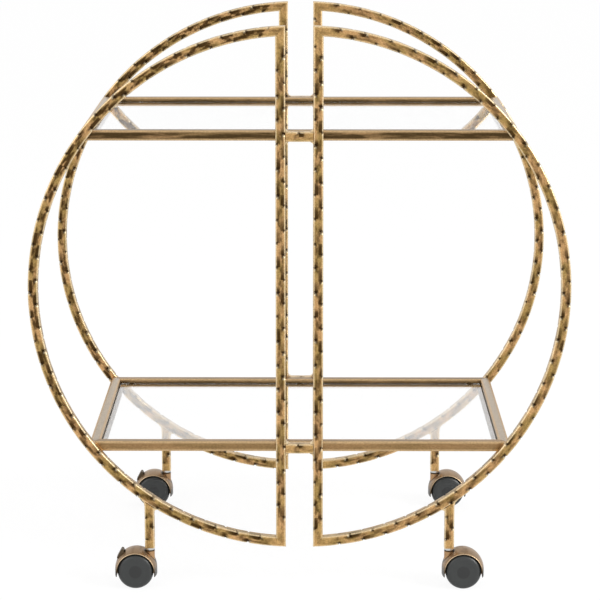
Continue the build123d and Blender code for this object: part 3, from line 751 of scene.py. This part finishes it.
# Wheels. Injection moulded nylon, two to a caster and free of each other: a rounded shoulder, a
# shallow ring and a raised hub disc on the outer face, hollow behind with a long hub on the axle.
WHEEL_RADIUS = 0.026
WHEEL_WIDTH = 0.0133
SHOULDER_ROUND = 0.0070
SHOULDER_STEPS = 9
RIM_WALL = 0.0063
DISC_WALL = 0.0045
HUB_RADIUS = 0.0075
HUB_DISC_RADIUS = 0.0086
RING_RADIUS = 0.0164
RELIEF = 0.0003
RELIEF_RUN = 0.0014
INNER_ROUND = 0.001
SMALL_STEPS = 3
BORE_RADIUS = 0.00305
END_COVER = 0.003
WHEEL_SEGMENTS = 96
WHEEL_CREASE = 32


def rounded(middle, radius, start, end, steps):
    """Points on a quarter round, by its middle, radius and the angles it starts and ends at."""
    angles = [radians(start + (end - start) * step / steps) for step in range(steps + 1)]
    return [(middle[0] + radius * cos(a), middle[1] + radius * sin(a)) for a in angles]


def lathe(profile, segments, name):
    """Mesh of a closed profile of (axial, radial) points turned round the X axis."""
    mesh = bmesh.new()
    rings = []
    for axial, radial in profile:
        turns = 1 if radial == 0 else segments
        angles = [2 * pi * turn / segments for turn in range(turns)]
        rings.append([mesh.verts.new((axial, radial * cos(a), radial * sin(a))) for a in angles])
    for ring, following in zip(rings, rings[1:] + rings[:1]):
        for turn in range(segments):
            after = (turn + 1) % segments
            quad = [ring[turn % len(ring)], ring[after % len(ring)],
                    following[after % len(following)], following[turn % len(following)]]
            corners = list(dict.fromkeys(quad))
            if len(corners) > 2:
                mesh.faces.new(corners)
    bmesh.ops.recalc_face_normals(mesh, faces=mesh.faces)
    made = bpy.data.meshes.new(name)
    mesh.to_mesh(made)
    mesh.free()
    return made


def moulded_nylon():
    """Black nylon with the fine matt grain of its mould and a darker hub."""
    black, grey_black = (0.025, 0.027, 0.027, 1), (0.034, 0.037, 0.036, 1)
    hub_black = (0.018, 0.019, 0.019, 1)
    material, tree, shader = new_material("moulded_nylon")
    place = object_place(tree)
    grain = noise(tree, place, (0.0006, 0.0006, 0.0006), 2.0)
    cloud = noise(tree, place, (0.012, 0.012, 0.012), 3.0, 4.0)
    colour = tint(tree, cloud, black, grey_black)
    tree.links.new(tint(tree, mark(tree, "hub"), colour, hub_black), shader["Base Color"])
    tree.links.new(blend(tree, grain, 0.3, 0.4), shader["Roughness"])
    roughen(tree, shader, grain, 0.00005, 0.25)
    return material


nylon = moulded_nylon()
for row_name in ROWS:
    for side_name in SIDES:
        for face_name, face in ROWS.items():
            corner = f"{row_name}_{side_name}"
            node = f"{corner}_caster_{face_name}_wheel"
            low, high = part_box(node)
            middle = (low + high) / 2
            outer = high.y - low.y
            rim, sunk = outer - WHEEL_WIDTH, outer - RELIEF
            behind, cover_end = outer - DISC_WALL, outer - END_COVER
            profile = [(cover_end, 0), (outer, 0), (outer, HUB_DISC_RADIUS - RELIEF_RUN),
                       (sunk, HUB_DISC_RADIUS), (sunk, HUB_DISC_RADIUS + RELIEF_RUN),
                       (sunk, RING_RADIUS), (outer, RING_RADIUS + RELIEF_RUN)]
            profile += rounded((outer - SHOULDER_ROUND, WHEEL_RADIUS - SHOULDER_ROUND),
                               SHOULDER_ROUND, 0, 90, SHOULDER_STEPS)
            profile += rounded((rim + INNER_ROUND, WHEEL_RADIUS - INNER_ROUND),
                               INNER_ROUND, 90, 180, SMALL_STEPS)
            profile += [(rim, WHEEL_RADIUS - RIM_WALL), (behind, WHEEL_RADIUS - RIM_WALL),
                        (behind, HUB_RADIUS), (0, HUB_RADIUS), (0, BORE_RADIUS),
                        (cover_end, BORE_RADIUS)]
            mesh = soften(lathe(profile, WHEEL_SEGMENTS, node), WHEEL_CREASE)
            hub = mesh.attributes.new("hub", "FLOAT", "POINT")
            for point, entry in zip(mesh.vertices, hub.data):
                on_hub = point.co.yz.length < HUB_DISC_RADIUS + RELIEF_RUN / 2
                entry.value = 1.0 if on_hub else 0.0
            start = Vector((middle.x, low.y if face > 0 else high.y, middle.z))
            mesh.transform(stand(start, Vector((0, face, 0)), UP))
            mesh.materials.append(nylon)
            body = f"{corner}_{face_name}_wheel"
            fit(mesh, f"{corner}_{face_name}_tyre", body, "black_nylon", node)

# Caster hoods. Die-cast shells with a crowned back, lacquered bronze: a web between the wheels
# carries the axle, and a boss takes the stem. The left ones have a slot for the brake lever.
HOOD_RADIUS = 0.0305
HOOD_INNER = 0.0272
HOOD_CROWN = 0.0025
HOOD_SKIRT = 0.0074
HOOD_STEPS = 60
SKIRT_STEPS = 3
RIM_ROUND = 0.0009
RIM_STEPS = 4
SLOT_COLUMNS = 3
SIDE_COLUMNS = 4
WEB_HALF = 0.003
SLOT_HALF = 0.0063
SLOT_ANGLES = (22, 61)
BOSS_RADIUS = 0.0069
BOSS_DROP = 0.0018
BOSS_ROUND = 0.0006
BOSS_SEGMENTS = 48
BOSS_SHADE_BAND = 0.0012
BOSS_SHADE_REACH = 0.004
SKIRT_SHADE = 0.015
HOOD_CREASE = 35


def arch(radius):
    """Points (up, out) along an arch: half a circle above the axle and straight skirts below it."""
    down = [HOOD_SKIRT * step / SKIRT_STEPS for step in range(1, SKIRT_STEPS + 1)]
    angles = [pi * step / HOOD_STEPS for step in range(HOOD_STEPS + 1)]
    return ([(-drop, radius) for drop in reversed(down)]
            + [(radius * sin(angle), radius * cos(angle)) for angle in angles]
            + [(-drop, -radius) for drop in down])


def hood_shell(mesh, half, boss_out, has_slot):
    """Crowned shell over the wheels: two skins on one grid of stations and arch points."""
    fine = [half - RIM_ROUND * step / RIM_STEPS for step in range(RIM_STEPS + 1)]
    coarse = [SLOT_HALF * step / SLOT_COLUMNS for step in range(SLOT_COLUMNS + 1)]
    coarse += [SLOT_HALF + (half - RIM_ROUND - SLOT_HALF) * step / SIDE_COLUMNS
               for step in range(1, SIDE_COLUMNS)]
    stations = sorted({s for reach in fine + coarse for s in (reach, -reach)})
    rim_wear_and_highlight = mesh.verts.layers.float.new("rim_wear_and_highlight")
    boss_shade = mesh.verts.layers.float.new("boss_shade")
    skirt_shade_mask = mesh.verts.layers.float.new("skirt_shade_mask")

    def outer_radius(station):
        """Radius of the outer skin, crowned and rounded off at the rim."""
        past = max(0.0, abs(station) - half + RIM_ROUND)
        crown = HOOD_CROWN * (station / half) ** 2
        return HOOD_RADIUS - crown - RIM_ROUND + sqrt(RIM_ROUND**2 - past**2)

    def skin(radius_at):
        """Grid of points at these radii, marked for the finish."""
        rows = []
        for station in stations:
            row = [mesh.verts.new((station, up, out)) for up, out in arch(radius_at(station))]
            for vert in row:
                # the rim is paler: rubbed wear and a painted highlight
                vert[rim_wear_and_highlight] = 1.0 if abs(station) > half - RIM_ROUND / 2 else 0.0
                # painted shade on the shell round the boss
                from_boss = sqrt(station**2 + (vert.co.z - boss_out) ** 2) - BOSS_RADIUS
                vert[boss_shade] = max(0.0, 1 - from_boss / BOSS_SHADE_REACH)
                # painted shade on the skirts, darker towards their feet
                vert[skirt_shade_mask] = max(0.0, (SKIRT_SHADE - vert.co.y) / (SKIRT_SHADE + HOOD_SKIRT))
            rows.append(row)
        return rows

    outer, inner = skin(outer_radius), skin(lambda station: HOOD_INNER)
    low, high = SLOT_ANGLES
    last_row, last_point = len(stations) - 1, len(outer[0]) - 1

    def is_open(i, k):
        """True in the slot and past the edges of the shell."""
        if not (0 <= i < last_row and 0 <= k < last_point):
            return True
        angle = 180 * (k - SKIRT_STEPS + 0.5) / HOOD_STEPS
        column = abs(stations[i] + stations[i + 1]) / 2
        return has_slot and low < angle < high and column < SLOT_HALF

    for i in range(last_row):
        for k in range(last_point):
            if is_open(i, k):
                continue
            ring = [(i, k), (i + 1, k), (i + 1, k + 1), (i, k + 1)]
            mesh.faces.new([outer[a][b] for a, b in ring])
            mesh.faces.new([inner[a][b] for a, b in reversed(ring)])
            beyond = [(i, k - 1), (i + 1, k), (i, k + 1), (i - 1, k)]
            for (first, second), next_cell in zip(zip(ring, ring[1:] + ring[:1]), beyond):
                if is_open(*next_cell):
                    (a, b), (c, d) = first, second
                    mesh.faces.new([outer[a][b], outer[c][d], inner[c][d], inner[a][b]])


def add_prism(mesh, outline, half):
    """Closed slab on an outline of (up, out) points, as thick as twice its half."""
    near, far = ([mesh.verts.new((x, up, out)) for up, out in outline] for x in (-half, half))
    mesh.faces.new(near)
    mesh.faces.new(far)
    for i in range(len(outline)):
        after = (i + 1) % len(outline)
        mesh.faces.new([near[i], near[after], far[after], far[i]])


def bronze_lacquer():
    """Satin bronze lacquer over die-cast zinc: rims rubbed and painted with a highlight, painted
    shade round the boss and on the skirts.
    """
    bronze_low, bronze_high = (0.30, 0.195, 0.105, 1), (0.37, 0.24, 0.13, 1)
    brown_patch, boss_copper = (0.13, 0.08, 0.042, 1), (0.56, 0.31, 0.14, 1)
    black_boss_shade, pale_rim = (0.026, 0.016, 0.008, 1), (0.72, 0.55, 0.36, 1)
    skirt_shade_brown = (0.020, 0.016, 0.011, 1)
    material, tree, shader = new_material("bronze_lacquer")
    wash, hue, speckle = antique(tree, object_place(tree), 1.0, 0.4)
    colour = tint(tree, hue, bronze_low, bronze_high)
    colour = cover(tree, colour, wash, 0.3, brown_patch)
    colour = cover(tree, colour, mark(tree, "boss"), 0.45, boss_copper)
    # painted shade round the boss and under its top
    colour = cover(tree, colour, fade(tree, mark(tree, "boss_shade"), 0.2, 0.65), 0.93, black_boss_shade)
    # rim: rubbed wear and a painted highlight
    colour = cover(tree, colour, mark(tree, "rim_wear_and_highlight"), 0.7, pale_rim)
    # painted shade on the skirts, darker towards their feet
    colour = cover(tree, colour, fade(tree, mark(tree, "skirt_shade_mask"), 0.15, 0.75), 0.95, skirt_shade_brown)
    colour = scaled(tree, colour, blend(tree, speckle, 0.88, 1.12))
    tree.links.new(colour, shader["Base Color"])
    tree.links.new(blend(tree, speckle, 0.34, 0.46), shader["Roughness"])
    shader["Metallic"].default_value = 0.9
    shader["Coat Weight"].default_value = 0.12
    shader["Coat Roughness"].default_value = 0.25
    return material


bronze = bronze_lacquer()
for row_name in ROWS:
    for side_name, side in SIDES.items():
        corner = f"{row_name}_{side_name}"
        low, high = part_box(f"{corner}_caster_hood")
        axle_low, axle_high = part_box(f"{corner}_caster_axle")
        axle = (axle_low + axle_high) / 2
        leg_low, leg_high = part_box(f"{corner}_leg")
        inward = -abs((leg_low.x + leg_high.x) / 2 - axle.x)
        shell = bmesh.new()
        hood_shell(shell, (high.y - low.y) / 2, inward, side_name == "left")
        outline = arch((HOOD_INNER + HOOD_RADIUS) / 2)
        if side_name == "left":
            first, last = (SKIRT_STEPS + round(angle * HOOD_STEPS / 180) for angle in SLOT_ANGLES)
            floor_line = [(WHEEL_RADIUS * sin(radians(angle)), WHEEL_RADIUS * cos(radians(angle)))
                          for angle in SLOT_ANGLES]
            outline = outline[:first] + floor_line + outline[last + 1:]
        add_prism(shell, outline, WEB_HALF)
        bmesh.ops.recalc_face_normals(shell, faces=shell.faces)
        mesh = bpy.data.meshes.new(corner)
        shell.to_mesh(mesh)
        shell.free()

        # The boss is turned by itself, joined to the shell and marked for the finish, with painted
        # shade round its top
        top = HOOD_RADIUS - BOSS_DROP
        profile = [(0, 0), (0, BOSS_RADIUS), (top - 2 * BOSS_SHADE_BAND, BOSS_RADIUS),
                   (top - BOSS_SHADE_BAND, BOSS_RADIUS)]
        profile += rounded((top - BOSS_ROUND, BOSS_RADIUS - BOSS_ROUND), BOSS_ROUND, 90, 0,
                           SMALL_STEPS)
        boss = lathe(profile + [(top, 0)], BOSS_SEGMENTS, "boss")
        boss.transform(Matrix.Translation((0, 0, inward)) @ stand((0, 0, 0), BACK, RIGHT))
        joined = bmesh.new()
        joined.from_mesh(mesh)
        joined.from_mesh(boss)
        joined.to_mesh(mesh)
        joined.free()
        boss_points = len(boss.vertices)
        bpy.data.meshes.remove(boss)
        on_boss, boss_shade = mesh.attributes.new("boss", "FLOAT", "POINT"), mesh.attributes["boss_shade"]
        for point in mesh.vertices[-boss_points:]:
            on_boss.data[point.index].value = 1.0
            boss_shade.data[point.index].value = 1.0 if top - point.co.y < 1.5 * BOSS_SHADE_BAND else 0.0
        mesh.transform(stand(axle, Vector((0, side, 0)), UP))
        mesh.materials.append(bronze)
        soften(mesh, HOOD_CREASE)
        node = f"{corner}_caster_hood"
        fit(mesh, f"{corner}_hood_shell", f"{corner}_caster", "bronze_hood", node)

# Foot brakes. Pressed steel levers with a dark bronze finish, on the left casters only: the tab
# stands out of the hood's slot and the cheeks carry bars that press inside the wheels' rims.


def dark_bronze():
    """Nearly black bronze finish, worn a little warmer on the high spots."""
    black_bronze, worn_bronze = (0.045, 0.034, 0.022, 1), (0.15, 0.108, 0.064, 1)
    material, tree, shader = new_material("dark_bronze")
    grain = noise(tree, object_place(tree), (0.0015, 0.0015, 0.0015))
    tree.links.new(tint(tree, grain, black_bronze, worn_bronze), shader["Base Color"])
    tree.links.new(blend(tree, grain, 0.32, 0.5), shader["Roughness"])
    shader["Metallic"].default_value = 0.8
    return material


lever_finish = dark_bronze()
for row_name in ROWS:
    dress(f"{row_name}_left_brake_lever", lever_finish)

# Studio. A pale floor that runs into a white room, two large soft lamps, and the camera where the
# photographer stood, a little above the cart and straight in front of it.
CAMERA_PLACE = (0.0146, -3.4919, 1.1182)
CAMERA_PITCH = 11.907
CAMERA_YAW = 0.24
CAMERA_LENS = 141.99
CAMERA_SENSOR = 36.0
FLOOR_HALF = 30
FLOOR_GLOW = 1.06
FLOOR_SHOWN_WHITE = 0.86
ROOM_LIGHT, ROOM_WHITE = 0.67, 1.0
WHITE, PALE_GREY = (1, 1, 1, 1), (0.82, 0.82, 0.82, 1)

camera = bpy.data.objects.new("camera", bpy.data.cameras.new("camera"))
bpy.context.collection.objects.link(camera)
camera.location = CAMERA_PLACE
camera.rotation_euler = (radians(90 - CAMERA_PITCH), 0, radians(CAMERA_YAW))
camera.data.lens = CAMERA_LENS
camera.data.sensor_width = CAMERA_SENSOR
bpy.context.scene.camera = camera


def shows_white(tree):
    """1 for rays that should meet a white room: the camera's, off gloss and through glass."""
    rays = add_node(tree, "ShaderNodeLightPath").outputs
    seen = calc(tree, "MAXIMUM", rays["Is Camera Ray"], rays["Is Glossy Ray"])
    return calc(tree, "MAXIMUM", seen, rays["Is Transmission Ray"])


floor_mesh = bpy.data.meshes.new("floor")
floor_corners = [(x * FLOOR_HALF, y * FLOOR_HALF, 0)
                 for x, y in ((-1, -1), (1, -1), (1, 1), (-1, 1))]
floor_mesh.from_pydata(floor_corners, [], [(0, 1, 2, 3)])
floor = bpy.data.objects.new("floor", floor_mesh)
bpy.context.collection.objects.link(floor)
material, tree, shader = new_material("pale_floor")
shader["Base Color"].default_value = PALE_GREY
shader["Roughness"].default_value = 0.8
lit = add_node(tree, "ShaderNodeEmission", {"Color": WHITE, "Strength": FLOOR_GLOW}).outputs[0]
matt = tree.nodes["Principled BSDF"].outputs[0]
share = times(tree, shows_white(tree), FLOOR_SHOWN_WHITE)
mixed = add_node(tree, "ShaderNodeMixShader", {0: share, 1: matt, 2: lit}).outputs[0]
tree.links.new(mixed, tree.nodes["Material Output"].inputs["Surface"])
floor_mesh.materials.append(material)

world = bpy.data.worlds.new("studio")
world.use_nodes = True
bpy.context.scene.world = world
tree = world.node_tree
sky = tree.nodes["Background"].inputs
sky["Color"].default_value = WHITE
tree.links.new(blend(tree, shows_white(tree), ROOM_LIGHT, ROOM_WHITE), sky["Strength"])

for name, place, aim, width, power in (
    ("key", (2.9, -1.7, 1.9), (0, 0, 0.45), 1.4, 75),
    ("fill", (-2.2, -1.8, 1.6), (0, 0, 0.4), 1.6, 14),
):
    lamp = bpy.data.lights.new(name, "AREA")
    lamp.size = width
    lamp.energy = power
    lamp_object = bpy.data.objects.new(name, lamp)
    lamp_object.location = place
    lamp_object.rotation_euler = (Vector(aim) - Vector(place)).to_track_quat("-Z", "Y").to_euler()
    bpy.context.collection.objects.link(lamp_object)

bpy.context.scene.view_settings.view_transform = "Standard"
